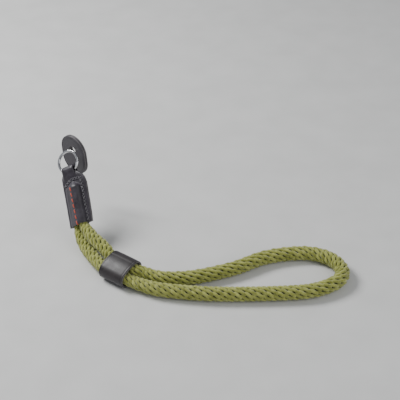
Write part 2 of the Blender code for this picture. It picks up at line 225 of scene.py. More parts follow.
def geometry_group(name, inputs):
    """A Geometry Nodes tree with named inputs; returns it with its group input and output nodes."""
    tree = bpy.data.node_groups.new(name, "GeometryNodeTree")
    tree.interface.new_socket("Geometry", in_out="INPUT", socket_type="NodeSocketGeometry")
    for label, kind, value in inputs:
        socket = tree.interface.new_socket(label, in_out="INPUT", socket_type="NodeSocket" + kind)
        if value is not None:
            socket.default_value = value
    tree.interface.new_socket("Geometry", in_out="OUTPUT", socket_type="NodeSocketGeometry")
    return tree, tree.nodes.new("NodeGroupInput"), tree.nodes.new("NodeGroupOutput")


def run_group(name, source, tree, values):
    """Runs a tree on an object and keeps the result as a plain mesh."""
    mod = source.modifiers.new(tree.name, "NODES")
    mod.node_group = tree
    for item in tree.interface.items_tree:
        if item.in_out == "INPUT" and item.name in values:
            mod[item.identifier] = values[item.name]
    bpy.context.view_layer.update()
    evaluated = source.evaluated_get(bpy.context.evaluated_depsgraph_get())
    mesh = bpy.data.meshes.new_from_object(evaluated)
    mesh.name = name
    bpy.data.objects.remove(source, do_unlink=True)
    return put(name, mesh)


def shade_smooth(ob, angle_deg=None):
    for p in ob.data.polygons:
        p.use_smooth = True
    if angle_deg is not None:
        ob.data.set_sharp_from_angle(angle=math.radians(angle_deg))


# %% [markdown]
# Cotton: each strand is a bundle of fibres, lit on its crown, with painted shade darkening it where it dives
# under the next.

# %% Rope material
def shader(name):
    mat = bpy.data.materials.new(name)
    mat.use_nodes = True
    tree = Tree(mat.node_tree)
    return mat, tree, mat.node_tree.nodes["Principled BSDF"]


def ramp(tree, factor, stops):
    node = tree.add("ShaderNodeValToRGB", {"Fac": factor})
    elements = node.color_ramp.elements
    while len(elements) < len(stops):
        elements.new(0.5)
    for element, (place, colour) in zip(elements, stops):
        element.position = place
        element.color = (*colour, 1)
    return node.outputs["Color"]


def cotton(name, light=1.0):
    mat, tree, bsdf = shader(name)
    coords = tree.add("ShaderNodeTexCoord").outputs["Object"]
    dive = tree.add("ShaderNodeAttribute", attribute_name="dive").outputs["Fac"]
    strand = tree.add("ShaderNodeAttribute", attribute_name="strand").outputs["Fac"]
    round_it = tree.add("ShaderNodeAttribute", attribute_name="round")
    fibres = tree.add("ShaderNodeTexNoise", {"Vector": round_it.outputs["Vector"], "Scale": 1.0,
                                             "Detail": 4.0})
    patches = tree.add("ShaderNodeTexNoise", {"Vector": coords, "Scale": 260.0, "Detail": 3.0})
    level = tree.math("ADD", tree.math("MULTIPLY", fibres.outputs["Fac"], 0.55),
                      tree.math("MULTIPLY", patches.outputs["Fac"], 0.45))
    greens = (0.140, 0.152, 0.022), (0.300, 0.318, 0.068), (0.490, 0.510, 0.165)
    tone = [tuple(light * c for c in rgb) for rgb in greens]
    colour = ramp(tree, level, ((0.30, tone[0]), (0.50, tone[1]), (0.72, tone[2])))
    # Painted shade: the colour darkens to near black where the strand dives under its neighbour.
    dark = tree.add("ShaderNodeMixRGB", {"Fac": tree.math("MULTIPLY", dive, 0.97), "Color1": colour,
                                         "Color2": (0.016, 0.017, 0.007, 1)})
    odd = tree.math("MULTIPLY_ADD", tree.math("FRACT", tree.math("MULTIPLY", strand, 0.618)), 0.22, 0.86)
    shade = tree.add("ShaderNodeHueSaturation", {"Value": odd, "Color": dark.outputs["Color"]})
    tree.tree.links.new(shade.outputs["Color"], bsdf.inputs["Base Color"])
    bsdf.inputs["Roughness"].default_value = 0.88
    bsdf.inputs["Specular IOR Level"].default_value = 0.2
    bsdf.inputs["Sheen Weight"].default_value = 0.35
    bsdf.inputs["Sheen Roughness"].default_value = 0.5
    bump = tree.add("ShaderNodeBump", {"Height": fibres.outputs["Fac"], "Strength": 0.7, "Distance": 0.00022})
    tree.tree.links.new(bump.outputs["Normal"], bsdf.inputs["Normal"])
    return mat


rope_cotton = cotton("rope_cotton")

# %% [markdown]
# The braid: each strand runs slanting over the surface for a stretch, then dives under its neighbour
# and comes back to its own column. Neighbouring strands dive in turn.

# %% Braid, built with Geometry Nodes
STRANDS = 12
STRAND_WIDE, STRAND_THICK = 2.20 * MM, 1.80 * MM


def braid_tree():
    tree, given, result = geometry_group("braid", (
        ("Strands", "Int", STRANDS), ("Period", "Float", 6.4 * MM), ("Slant", "Float", math.radians(43)),
        ("Over Share", "Float", 0.62), ("Dive Depth", "Float", 1.7 * MM), ("Plump", "Float", 0.42 * MM),
        ("Stagger", "Float", 1 / 3), ("Rope Radius", "Float", ROPE_RADIUS),
        ("Strand Width", "Float", STRAND_WIDE), ("Strand Thickness", "Float", STRAND_THICK),
        ("Sides", "Int", 8), ("Material", "Material", None)))
    t = Tree(tree)
    g = given.outputs
    copies = t.add("GeometryNodeDuplicateElements", {"Geometry": g["Geometry"], "Amount": g["Strands"]},
                   domain="SPLINE")
    number = copies.outputs["Duplicate Index"]
    along = t.add("GeometryNodeSplineParameter").outputs["Length"]
    radius = t.add("GeometryNodeInputRadius").outputs[0]
    turns = t.math("ADD", t.math("DIVIDE", along, g["Period"]), t.math("MULTIPLY", number, g["Stagger"]))
    place = t.math("FRACT", turns)
    over = t.remap(place, 0.0, g["Over Share"])
    under = t.remap(place, g["Over Share"], 1.0, "SMOOTHSTEP")
    sweep = t.math("MULTIPLY", t.math("SUBTRACT", t.math("SUBTRACT", over, under), 0.5), g["Slant"])
    column = t.math("DIVIDE", t.math("MULTIPLY", number, 2 * math.pi), g["Strands"])
    angle = t.math("ADD", column, sweep)
    raw = t.remap(place, g["Over Share"], 1.0)
    peak = t.math("SUBTRACT", 1.0, t.math("ABSOLUTE", t.math("MULTIPLY_ADD", raw, 2.0, -1.0)))
    dive = t.remap(peak, 0.0, 1.0, "SMOOTHSTEP")
    crown = t.math("MULTIPLY", t.math("SUBTRACT", t.math("SINE", t.math("MULTIPLY", over, math.pi)), 1.0),
                   g["Plump"])
    surface = t.math("SUBTRACT", g["Rope Radius"], t.math("MULTIPLY", g["Strand Thickness"], 0.5))
    level = t.math("ADD", t.math("SUBTRACT", surface, t.math("MULTIPLY", dive, g["Dive Depth"])), crown)
    normal = t.add("GeometryNodeInputNormal").outputs[0]
    tangent = t.add("GeometryNodeInputTangent").outputs[0]
    out = t.add("ShaderNodeVectorRotate", {"Vector": normal, "Axis": tangent, "Angle": angle},
                rotation_type="AXIS_ANGLE").outputs[0]
    first = t.add("GeometryNodeStoreNamedAttribute",
                  {"Geometry": copies.outputs["Geometry"], "Name": "out", "Value": out},
                  data_type="FLOAT_VECTOR", domain="POINT")
    kept = first.outputs[0]
    # The dive share is kept as an attribute; the cotton material paints shade with it where strands dive.
    for name, value in (("dive", dive), ("strand", number), ("run", along)):
        kept = t.add("GeometryNodeStoreNamedAttribute", {"Geometry": kept, "Name": name, "Value": value},
                     data_type="FLOAT", domain="POINT").outputs[0]
    moved = t.add("GeometryNodeSetPosition", {"Geometry": kept,
                                              "Offset": t.scale(out, t.math("MULTIPLY", level, radius))})
    upright = t.add("GeometryNodeInputNamedAttribute", {"Name": "out"}, data_type="FLOAT_VECTOR").outputs[0]
    turned = t.add("GeometryNodeSetCurveNormal", {"Curve": moved.outputs[0], "Normal": upright}, mode="FREE")
    profile = t.add("GeometryNodeCurvePrimitiveCircle", {"Resolution": g["Sides"], "Radius": 0.5})
    stretch = t.add("ShaderNodeCombineXYZ", {"X": g["Strand Thickness"], "Y": g["Strand Width"], "Z": 1.0})
    sized = t.add("GeometryNodeTransform", {"Geometry": profile.outputs[0], "Scale": stretch.outputs[0]})
    tagged = t.add("GeometryNodeStoreNamedAttribute",
                   {"Geometry": sized.outputs[0], "Name": "side",
                    "Value": t.add("GeometryNodeSplineParameter").outputs["Factor"]},
                   data_type="FLOAT", domain="POINT")
    mesh = t.add("GeometryNodeCurveToMesh", {"Curve": turned.outputs[0], "Profile Curve": tagged.outputs[0],
                                             "Fill Caps": True})
    side = t.add("GeometryNodeInputNamedAttribute", {"Name": "side"}, data_type="FLOAT").outputs[0]
    run = t.add("GeometryNodeInputNamedAttribute", {"Name": "run"}, data_type="FLOAT").outputs[0]
    strand = t.add("GeometryNodeInputNamedAttribute", {"Name": "strand"}, data_type="FLOAT").outputs[0]
    spin = t.math("MULTIPLY", side, 2 * math.pi)
    fibre = t.add("ShaderNodeCombineXYZ", {"X": t.math("MULTIPLY", t.math("COSINE", spin), 4.0),
                                           "Y": t.math("MULTIPLY", t.math("SINE", spin), 4.0),
                                           "Z": t.math("ADD", t.math("MULTIPLY", run, 900.0),
                                                       t.math("MULTIPLY", strand, 17.0))})
    kept = t.add("GeometryNodeStoreNamedAttribute",
                 {"Geometry": mesh.outputs[0], "Name": "round", "Value": fibre.outputs[0]},
                 data_type="FLOAT_VECTOR", domain="POINT")
    smooth = t.add("GeometryNodeSetShadeSmooth", {"Geometry": kept.outputs[0]})
    painted = t.add("GeometryNodeSetMaterial", {"Geometry": smooth.outputs[0], "Material": g["Material"]})
    tree.links.new(painted.outputs[0], result.inputs[0])
    return tree


def middle_curve(name, points, step):
    """The rope's middle as a curve read at equal steps, with its radius as a share of the full rope."""
    lengths = [0.0]
    for a, b in zip(points, points[1:]):
        lengths.append(lengths[-1] + (b - a).to_3d().length)
    count = int(lengths[-1] / step) + 1
    curve = bpy.data.curves.new(name, "CURVE")
    curve.dimensions = "3D"
    spline = curve.splines.new("POLY")
    spline.points.add(count - 1)
    k = 0
    for i, p in enumerate(spline.points):
        s = lengths[-1] * i / (count - 1)
        while k < len(points) - 2 and lengths[k + 1] < s:
            k += 1
        at = points[k].lerp(points[k + 1], (s - lengths[k]) / (lengths[k + 1] - lengths[k]))
        p.co = (*at[:3], 1)
        p.radius = at[3] / ROPE_RADIUS
    return put(name, curve)


rope = run_group("rope_braid", middle_curve("rope_middle", line, 0.5 * MM), braid_tree(),
                 {"Material": rope_cotton})
print("braid triangles:", sum(len(p.vertices) - 2 for p in rope.data.polygons))

# %% [markdown]
# Inside the strands lies a core, so that no light shows through between them; its near-black colour is
# painted shade for the gaps between the strands.

# %% Core of the rope
CORE_SHARE = 0.62                 # of the rope's radius


def core_piece():
    curve_ob = middle_curve("core_middle", line, 3.0 * MM)
    curve_ob.data.bevel_depth = CORE_SHARE * ROPE_RADIUS
    curve_ob.data.bevel_resolution = 3
    curve_ob.data.use_fill_caps = True
    mat, tree, bsdf = shader("core_painted_shade")
    coords = tree.add("ShaderNodeTexCoord").outputs["Object"]
    noise = tree.add("ShaderNodeTexNoise", {"Vector": coords, "Scale": 700.0})
    # Near-black colour: painted shade seen in the gaps between the strands.
    colour = ramp(tree, noise.outputs["Fac"], ((0.3, (0.018, 0.020, 0.006)), (0.7, (0.045, 0.048, 0.015))))
    tree.tree.links.new(colour, bsdf.inputs["Base Color"])
    bsdf.inputs["Roughness"].default_value = 0.95
    bpy.context.view_layer.update()
    mesh = bpy.data.meshes.new_from_object(curve_ob.evaluated_get(bpy.context.evaluated_depsgraph_get()))
    bpy.data.objects.remove(curve_ob, do_unlink=True)
    core = put("rope_core", mesh, mat)
    shade_smooth(core)
    return core


core = core_piece()

# %% [markdown]
# Cotton fibres stand off the strands all round.

# %% Loose fibres standing off the braid
HAIR_LENGTH, HAIR_RADIUS = 1.7 * MM, 0.022 * MM


def hair_mesh():
    """One bent, tapering fibre that starts at the origin and rises along Z."""
    bm = bmesh.new()
    rings = []
    for i in range(5):
        t = i / 4
        middle = Vector((0.55 * t * t * HAIR_LENGTH, 0.12 * math.sin(3 * t) * HAIR_LENGTH,
                         0.75 * t * HAIR_LENGTH))
        width = HAIR_RADIUS * (1 - 0.75 * t)
        rings.append([bm.verts.new(middle + Vector((width * math.cos(a), width * math.sin(a), 0)))
                      for a in (0, 2 * math.pi / 3, 4 * math.pi / 3)])
    for low, high in zip(rings, rings[1:]):
        for i in range(3):
            bm.faces.new((low[i], low[(i + 1) % 3], high[(i + 1) % 3], high[i]))
    bm.faces.new(rings[0][::-1])
    bm.faces.new(rings[-1])
    mesh = bpy.data.meshes.new("hair")
    bm.to_mesh(mesh)
    bm.free()
    return put("hair", mesh)


def fuzz_tree():
    tree, given, result = geometry_group("fuzz", (
        ("Hair", "Object", None), ("Density", "Float", 130000.0), ("Lean", "Float", 0.9),
        ("Seed", "Int", 4), ("Material", "Material", None)))
    t = Tree(tree)
    g = given.outputs
    spots = t.add("GeometryNodeDistributePointsOnFaces",
                  {"Mesh": g["Geometry"], "Density": g["Density"], "Seed": g["Seed"]})
    one = t.add("GeometryNodeObjectInfo", {"Object": g["Hair"]})
    lean = t.math("MULTIPLY", g["Lean"], -1.0)
    swing = t.add("FunctionNodeRandomValue", {0: (0, 0, 0), 1: (1, 1, 1), "Seed": g["Seed"]},
                  data_type="FLOAT_VECTOR")
    parts = t.add("ShaderNodeSeparateXYZ", {0: swing.outputs[0]})
    tilt_x = t.math("MULTIPLY_ADD", parts.outputs[0], t.math("MULTIPLY", g["Lean"], 2.0), lean)
    tilt_y = t.math("MULTIPLY_ADD", parts.outputs[1], t.math("MULTIPLY", g["Lean"], 2.0), lean)
    spin = t.math("MULTIPLY", parts.outputs[2], 2 * math.pi)
    local = t.add("ShaderNodeCombineXYZ", {0: tilt_x, 1: tilt_y, 2: spin})
    turned = t.add("FunctionNodeRotateRotation", {"Rotation": spots.outputs["Rotation"],
                                                  "Rotate By": local.outputs[0]},
                   rotation_space="LOCAL")
    size = t.add("FunctionNodeRandomValue", {2: 0.35, 3: 1.15, "Seed": 9}, data_type="FLOAT")
    many = t.add("GeometryNodeInstanceOnPoints", {"Points": spots.outputs["Points"],
                                                  "Instance": one.outputs["Geometry"],
                                                  "Rotation": turned.outputs[0], "Scale": size.outputs[1]})
    real = t.add("GeometryNodeRealizeInstances", {"Geometry": many.outputs[0]})
    painted = t.add("GeometryNodeSetMaterial", {"Geometry": real.outputs[0], "Material": g["Material"]})
    tree.links.new(painted.outputs[0], result.inputs[0])
    return tree


def fibre_material():
    mat, tree, bsdf = shader("cotton_fibres")
    coords = tree.add("ShaderNodeTexCoord").outputs["Object"]
    noise = tree.add("ShaderNodeTexNoise", {"Vector": coords, "Scale": 400.0})
    colour = ramp(tree, noise.outputs["Fac"], ((0.35, (0.20, 0.21, 0.10)), (0.65, (0.42, 0.43, 0.26))))
    tree.tree.links.new(colour, bsdf.inputs["Base Color"])
    bsdf.inputs["Roughness"].default_value = 0.9
    return mat


hair = hair_mesh()
fuzz = run_group("rope_fuzz", put("rope_surface", rope.data.copy()), fuzz_tree(),
                 {"Hair": hair, "Material": fibre_material()})
bpy.data.objects.remove(hair, do_unlink=True)
for vertex in fuzz.data.vertices:          # the table stops the fibres under the rope
    vertex.co.z = max(vertex.co.z, TABLE_Z)
print("fuzz triangles:", sum(len(p.vertices) - 2 for p in fuzz.data.polygons))

# %% [markdown]
# Leather: a fine pebble grain with soft creases, a faint bloom, and a shine that changes over the piece.

# %% Leather material
def grain_group():
    """Height, tone and shine of grained leather, from Object coordinates."""
    tree = bpy.data.node_groups.new("leather_grain", "ShaderNodeTree")
    tree.interface.new_socket("Grain Size", in_out="INPUT",
                              socket_type="NodeSocketFloat").default_value = 0.55 * MM
    for label in ("Height", "Tone", "Shine"):
        tree.interface.new_socket(label, in_out="OUTPUT", socket_type="NodeSocketFloat")
    given, result = tree.nodes.new("NodeGroupInput"), tree.nodes.new("NodeGroupOutput")
    t = Tree(tree)
    coords = t.add("ShaderNodeTexCoord").outputs["Object"]
    fine = t.math("DIVIDE", 1.0, given.outputs["Grain Size"])
    cells = t.add("ShaderNodeTexVoronoi", {"Vector": coords, "Scale": fine}, feature="SMOOTH_F1")
    waves = t.add("ShaderNodeTexNoise", {"Vector": coords, "Scale": t.math("MULTIPLY", fine, 0.35),
                                         "Detail": 5.0})
    broad = t.add("ShaderNodeTexNoise", {"Vector": coords, "Scale": t.math("MULTIPLY", fine, 0.07),
                                         "Detail": 3.0})
    height = t.math("ADD", t.math("MULTIPLY", cells.outputs["Distance"], -0.6),
                    t.math("MULTIPLY", waves.outputs["Fac"], 0.8))
    tree.links.new(height, result.inputs["Height"])
    tree.links.new(t.math("ADD", t.math("MULTIPLY", broad.outputs["Fac"], 0.7),
                          t.math("MULTIPLY", waves.outputs["Fac"], 0.3)),
                   result.inputs["Tone"])
    tree.links.new(t.remap(broad.outputs["Fac"], 0.3, 0.7), result.inputs["Shine"])
    return tree


GRAIN = grain_group()


def leather(name, dark, light, smooth, rough, bump=0.35, bloom=(0.5, 0.45, 0.6)):
    mat, tree, bsdf = shader(name)
    grain = tree.add("ShaderNodeGroup", node_tree=GRAIN)
    colour = ramp(tree, grain.outputs["Tone"], ((0.35, dark), (0.65, light)))
    tree.tree.links.new(colour, bsdf.inputs["Base Color"])
    spread = tree.math("MULTIPLY_ADD", grain.outputs["Shine"], rough - smooth, smooth)
    tree.tree.links.new(spread, bsdf.inputs["Roughness"])
    bsdf.inputs["Specular IOR Level"].default_value = 0.5
    bsdf.inputs["Sheen Weight"].default_value = 0.12
    bsdf.inputs["Sheen Tint"].default_value = (*bloom, 1)
    height = tree.add("ShaderNodeBump", {"Height": grain.outputs["Height"], "Strength": bump,
                                         "Distance": 0.00018})
    tree.tree.links.new(height.outputs["Normal"], bsdf.inputs["Normal"])
    return mat


tab_leather = leather("tab_grained_leather", (0.014, 0.012, 0.016), (0.040, 0.034, 0.045), 0.36, 0.50)
keeper_leather = leather("keeper_glazed_leather", (0.009, 0.007, 0.007), (0.024, 0.019, 0.019), 0.40, 0.56,
                         bump=0.22)
guard_leather = leather("guard_grained_leather", (0.020, 0.018, 0.022), (0.048, 0.043, 0.050), 0.40, 0.58)
edge_leather = leather("raw_leather_edge", (0.060, 0.055, 0.058), (0.135, 0.125, 0.130), 0.55, 0.75, bump=0.5)

# %% [markdown]
# The tab is two layers of leather, folded over the ring at the top and swelling over the rope ends.
# It is lofted through cross-sections; the raw edges of the layers show at the sides and the mouth.

# %% End tab
# Each edge's reach from the middle as a share of TAB_REACH, against the share of the way down the tab
LEFT_EDGE = ((0.027, 0.453), (0.064, 0.556), (0.107, 0.611), (0.214, 0.639), (0.483, 0.694), (1.0, 0.796))
RIGHT_EDGE = ((0.027, 0.453), (0.059, 0.570), (0.090, 0.690), (0.130, 0.820), (0.190, 0.930),
              (0.295, 1.0), (0.456, 0.954), (0.804, 0.870), (1.0, 0.787))
LAYER_GROOVE = 0.20 * MM          # depth of the line between the two sewn layers


def block_reach(angle, left, right, half, power=5.0):
    side = right if math.cos(angle) > 0 else left
    return ((abs(math.cos(angle)) / side) ** power + (abs(math.sin(angle)) / half) ** power) ** (-1 / power)


def pair_reach(angle, e, r, middle=0.0):
    """Distance along a ray to the outline drawn round two circles at +-e from the middle."""
    near, far = 0.0, 20 * MM
    for _ in range(20):
        mid = (near + far) / 2
        x, y = mid * math.cos(angle) - middle, mid * math.sin(angle)
        along = max(-e, min(e, x * math.cos(TURN) + y * math.sin(TURN)))
        inside = math.hypot(x - along * math.cos(TURN), y - along * math.sin(TURN)) < r
        near, far = (mid, far) if inside else (near, mid)
    return near


def soft_max(a, b, blend):
    return 0.5 * (a + b + math.sqrt((a - b) ** 2 + blend * blend))


def tab_outline(v, count=220):
    if v < 0:
        half = math.sqrt(max(0.0, FOLD_RADIUS ** 2 - v * v))
    else:
        half = FLANGE_HALF + (FOLD_RADIUS - FLANGE_HALF) * (1 - smoothstep(0.5 * MM, 9.0 * MM, v))
    half = max(half, 0.35 * MM)
    left, right = (between(edge, v / TAB_LENGTH) * TAB_REACH for edge in (LEFT_EDGE, RIGHT_EDGE))
    swell = smoothstep(5.0 * MM, 13.0 * MM, v)
    r = between(POCKET_LEG, v)
    points = []
    for i in range(count):
        t = 2 * math.pi * i / count
        angle = math.atan2(0.5 * math.sin(t), math.cos(t))
        flange = block_reach(angle, left, right, min(half, FLANGE_HALF))
        reach = block_reach(angle, FOLD_HALF, FOLD_HALF, half)
        reach = soft_max(reach, flange, 1.6 * MM * smoothstep(1.6 * MM, 5 * MM, v))
        if swell > 0:
            wide = (r + GAP + POCKET_WALL) * swell
            over = pair_reach(angle, (r + LEG_GAP / 2) * swell, wide, pocket_middle(v) * swell)
            reach = soft_max(reach, over, 0.5 * MM * swell)
        across, out = reach * math.cos(angle), reach * math.sin(angle)
        reach -= LAYER_GROOVE * math.exp(-(out / (0.17 * MM)) ** 2) * smoothstep(0.5 * MM, 3 * MM, v)
        reach += 0.07 * MM * math.sin(across * 900 + v * 500) * math.sin(v * 310 + 2 * angle) * swell
        points.append(TAB_FRAME @ Vector((reach * math.cos(angle), -reach * math.sin(angle), -v)))
    return points


def loft(name, rings, mats):
    bm = bmesh.new()
    rows = [[bm.verts.new(p) for p in ring] for ring in rings]
    count = len(rows[0])
    for low, high in zip(rows, rows[1:]):
        for i in range(count):
            j = (i + 1) % count
            bm.faces.new((low[i], low[j], high[j], high[i]))
    bm.faces.new(rows[0][::-1])
    bm.faces.new(rows[-1])
    bmesh.ops.recalc_face_normals(bm, faces=bm.faces)
    mesh = bpy.data.meshes.new(name)
    bm.to_mesh(mesh)
    bm.free()
    ob = put(name, mesh)
    for mat in mats:
        mesh.materials.append(mat)
    return ob


def baked(ob, name):
    """The object with its modifiers applied, as a plain mesh object."""
    bpy.context.view_layer.update()
    mesh = bpy.data.meshes.new_from_object(ob.evaluated_get(bpy.context.evaluated_depsgraph_get()))
    mesh.transform(ob.matrix_world)
    mesh.name = name
    bpy.data.objects.remove(ob, do_unlink=True)
    return put(name, mesh)


def cut(ob, tools, name):
    for tool in tools:
        mod = ob.modifiers.new(tool.name, "BOOLEAN")
        mod.operation = "DIFFERENCE"
        mod.solver = "EXACT"
        mod.object = tool
    done = baked(ob, name)
    for tool in tools:
        bpy.data.objects.remove(tool, do_unlink=True)
    return done


def cylinder(name, radius, depth, place, segments=48):
    bm = bmesh.new()
    bmesh.ops.create_cone(bm, cap_ends=True, segments=segments, radius1=radius, radius2=radius, depth=depth,
                          matrix=place)
    mesh = bpy.data.meshes.new(name)
    bm.to_mesh(mesh)
    bm.free()
    return put(name, mesh)


def pocket_outline(v, count=64):
    r = between(POCKET_LEG, v)
    flare = MOUTH_FLARE * smoothstep(0.8 * TAB_LENGTH, TAB_LENGTH, v)
    points = []
    for i in range(count):
        angle = 2 * math.pi * i / count + TURN
        reach = pair_reach(angle, r + LEG_GAP / 2, r + GAP + flare)
        across = pocket_middle(v) + reach * math.cos(angle)
        points.append(TAB_FRAME @ Vector((across, -reach * math.sin(angle), -v)))
    return points


def steps(first, last, count):
    return [first + (last - first) * i / count for i in range(count + 1)]


levels = [-FOLD_RADIUS * math.cos(math.radians(a)) for a in range(5, 90, 5)]
levels += steps(0.4 * MM, 13 * MM, 34) + steps(13.6 * MM, TAB_LENGTH - 0.5 * MM, 30) + [TAB_LENGTH]
tab_body = loft("tab_body", [tab_outline(v) for v in levels], [tab_leather, edge_leather])
tunnel = cylinder("tunnel", TUNNEL_RADIUS, TUNNEL_DEPTH, TAB_FRAME @ Matrix.Rotation(math.pi / 2, 4, "Y"))
pocket = loft("pocket", [pocket_outline(v) for v in steps(POCKET_START, TAB_LENGTH + 2 * MM, 12)], [])
end_tab = cut(tab_body, [tunnel, pocket], "tab_leather_piece")
for p in end_tab.data.polygons:
    here = TAB_FRAME.inverted() @ p.center
    side_edge = abs(p.normal.dot(ACROSS)) > 0.75 and abs(here.y) < 1.15 * MM and here.z < -1.6 * MM
    p.material_index = 1 if side_edge or p.normal.dot(DOWN) > 0.9 else 0
shade_smooth(end_tab, 62)
print("tab triangles:", sum(len(p.vertices) - 2 for p in end_tab.data.polygons))

# %% [markdown]
# Threads: a row of crossed black stitches runs over the top of the swelling and down its right foot,
# on both faces, and a row of red stitches runs down the front. Each row follows a line on the leather.

# %% Stitches, placed along their lines with Geometry Nodes
def thread_motif(name, strokes, radius, rise):
    """Short arched threads between given ends, in mm, with their ends sunk into the leather."""
    bm = bmesh.new()
    for (x0, y0), (x1, y1), lift in strokes:
        a, b = Vector((x0, y0, 0)) * MM, Vector((x1, y1, 0)) * MM
        way = (b - a).normalized()
        side = Vector((-way.y, way.x, 0))
        rings = []
        for i in range(9):
            t = i / 8
            middle = a.lerp(b, t) + Vector((0, 0, rise * (1 - (2 * t - 1) ** 4) - 0.6 * radius + lift * MM))
            rings.append([bm.verts.new(middle + side * radius * math.cos(k * math.pi / 4)
                                       + Vector((0, 0,
                                                 radius * math.sin(k * math.pi / 4)))) for k in range(8)])
        for low, high in zip(rings, rings[1:]):
            for k in range(8):
                bm.faces.new((low[k], low[(k + 1) % 8], high[(k + 1) % 8], high[k]))
        bm.faces.new(rings[0][::-1])
        bm.faces.new(rings[-1])
    bmesh.ops.recalc_face_normals(bm, faces=bm.faces)
    mesh = bpy.data.meshes.new(name)
    bm.to_mesh(mesh)
    bm.free()
    return put(name, mesh)


def row_tree():
    tree, given, result = geometry_group("stitch_row", (
        ("Stitch", "Object", None), ("Spacing", "Float", 2.4 * MM), ("Material", "Material", None)))
    t = Tree(tree)
    g = given.outputs
    path = t.add("GeometryNodeMeshToCurve", {"Mesh": g["Geometry"]})
    spots = t.add("GeometryNodeCurveToPoints", {"Curve": path.outputs[0], "Length": g["Spacing"]},
                  mode="LENGTH")
    up = t.add("GeometryNodeInputNamedAttribute", {"Name": "up"}, data_type="FLOAT_VECTOR").outputs[0]
    along = t.add("FunctionNodeAlignRotationToVector", {"Vector": spots.outputs["Tangent"]}, axis="X")
    stand = t.add("FunctionNodeAlignRotationToVector", {"Rotation": along.outputs[0], "Vector": up}, axis="Z",
                  pivot_axis="X")
    one = t.add("GeometryNodeObjectInfo", {"Object": g["Stitch"]})
    many = t.add("GeometryNodeInstanceOnPoints", {"Points": spots.outputs["Points"],
                                                  "Instance": one.outputs["Geometry"],
                                                  "Rotation": stand.outputs[0]})
    real = t.add("GeometryNodeRealizeInstances", {"Geometry": many.outputs[0]})
    painted = t.add("GeometryNodeSetMaterial", {"Geometry": real.outputs[0], "Material": g["Material"]})
    smooth = t.add("GeometryNodeSetShadeSmooth", {"Geometry": painted.outputs[0]})
    tree.links.new(smooth.outputs[0], result.inputs[0])
    return tree


def thread_material(name, dark, light, rough):
    mat, tree, bsdf = shader(name)
    coords = tree.add("ShaderNodeTexCoord").outputs["Object"]
    twist = tree.add("ShaderNodeTexWave", {"Vector": coords, "Scale": 1300.0, "Distortion": 1.5},
                     bands_direction="DIAGONAL")
    # Painted light: the colour follows the twist's bump, lighter on the crowns as painted highlight and
    # darker between them as painted shade.
    colour = ramp(tree, twist.outputs["Fac"], ((0.2, dark), (0.8, light)))
    tree.tree.links.new(colour, bsdf.inputs["Base Color"])
    bsdf.inputs["Roughness"].default_value = rough
    bump = tree.add("ShaderNodeBump", {"Height": twist.outputs["Fac"], "Strength": 0.5, "Distance": 0.00008})
    tree.tree.links.new(bump.outputs["Normal"], bsdf.inputs["Normal"])
    return mat


# The black thread is coloured up to mid grey, a painted highlight that keeps its twist showing on the dark
# leather.
black_thread = thread_material("black_waxed_thread", (0.050, 0.048, 0.054), (0.200, 0.192, 0.210), 0.34)
red_thread = thread_material("red_thread", (0.30, 0.035, 0.020), (0.62, 0.11, 0.06), 0.6)
ROW_TREE = row_tree()
tab_surface = BVHTree.FromObject(end_tab, bpy.context.evaluated_depsgraph_get())


def line_on_tab(name, stops, side, step=0.6):
    """A line over the tab through (across, down) stops in mm, laid on its front or back."""
    mesh = bpy.data.meshes.new(name)
    spots, ups = [], []
    for (u0, v0), (u1, v1) in zip(stops, stops[1:]):
        count = max(1, round(math.hypot(u1 - u0, v1 - v0) / step))
        for i in range(count):
            t = i / count
            start = HINGE + (ACROSS * (u0 + (u1 - u0) * t)
                             + DOWN * (v0 + (v1 - v0) * t)) * MM + FACE * side * 0.03
            hit, normal, _, _ = tab_surface.ray_cast(start, -FACE * side)
            if hit is not None:
                spots.append(hit)
                ups.append(normal)
    mesh.from_pydata(spots, [(i, i + 1) for i in range(len(spots) - 1)], [])
    up = mesh.attributes.new("up", "FLOAT_VECTOR", "POINT")
    for item, normal in zip(up.data, ups):
        item.vector = normal
    return put(name, mesh)


CROSS_TOP = ((-4.4, 9.8), (-2.6, 8.6), (-0.7, 7.8), (2.0, 7.0), (5.0, 6.9), (7.6, 7.7))
CROSS_SIDE = ((7.6, 9.6), (7.7, 12.5), (7.5, 16.5), (7.1, 22.0), (6.7, 29.0), (6.5, 36.2))
RED_LINE = ((0.3, 13.6), (-0.2, 36.9))
cross = thread_motif("cross_stitch", (((-1.0, -0.85), (1.0, 0.85), 0.0), ((-1.0, 0.85), (1.0, -0.85), 0.20)),
                     0.25 * MM, 0.26 * MM)
dash = thread_motif("dash_stitch", (((-1.40, -0.30), (1.40, 0.30), 0.0),), 0.44 * MM, 0.42 * MM)
threads = []
for name, stops, side, motif, space, mat in (
        ("black_stitches_top_front", CROSS_TOP, 1, cross, 2.3 * MM, black_thread),
        ("black_stitches_side_front", CROSS_SIDE, 1, cross, 2.3 * MM, black_thread),
        ("black_stitches_top_back", CROSS_TOP, -1, cross, 2.3 * MM, black_thread),
        ("black_stitches_side_back", CROSS_SIDE, -1, cross, 2.3 * MM, black_thread),
        ("red_stitches_front", RED_LINE, 1, dash, 3.5 * MM, red_thread)):
    row = run_group(name, line_on_tab(name + "_line", stops, side), ROW_TREE,
                    {"Stitch": motif, "Spacing": space, "Material": mat})
    threads.append(row)
    print(name, len(row.data.polygons), "faces")
for motif in (cross, dash):
    bpy.data.objects.remove(motif, do_unlink=True)

# %% [markdown]
# The keeper is one band of glazed leather. Its section runs out over the band, round the rim and
# back inside; a creased line follows each rim.

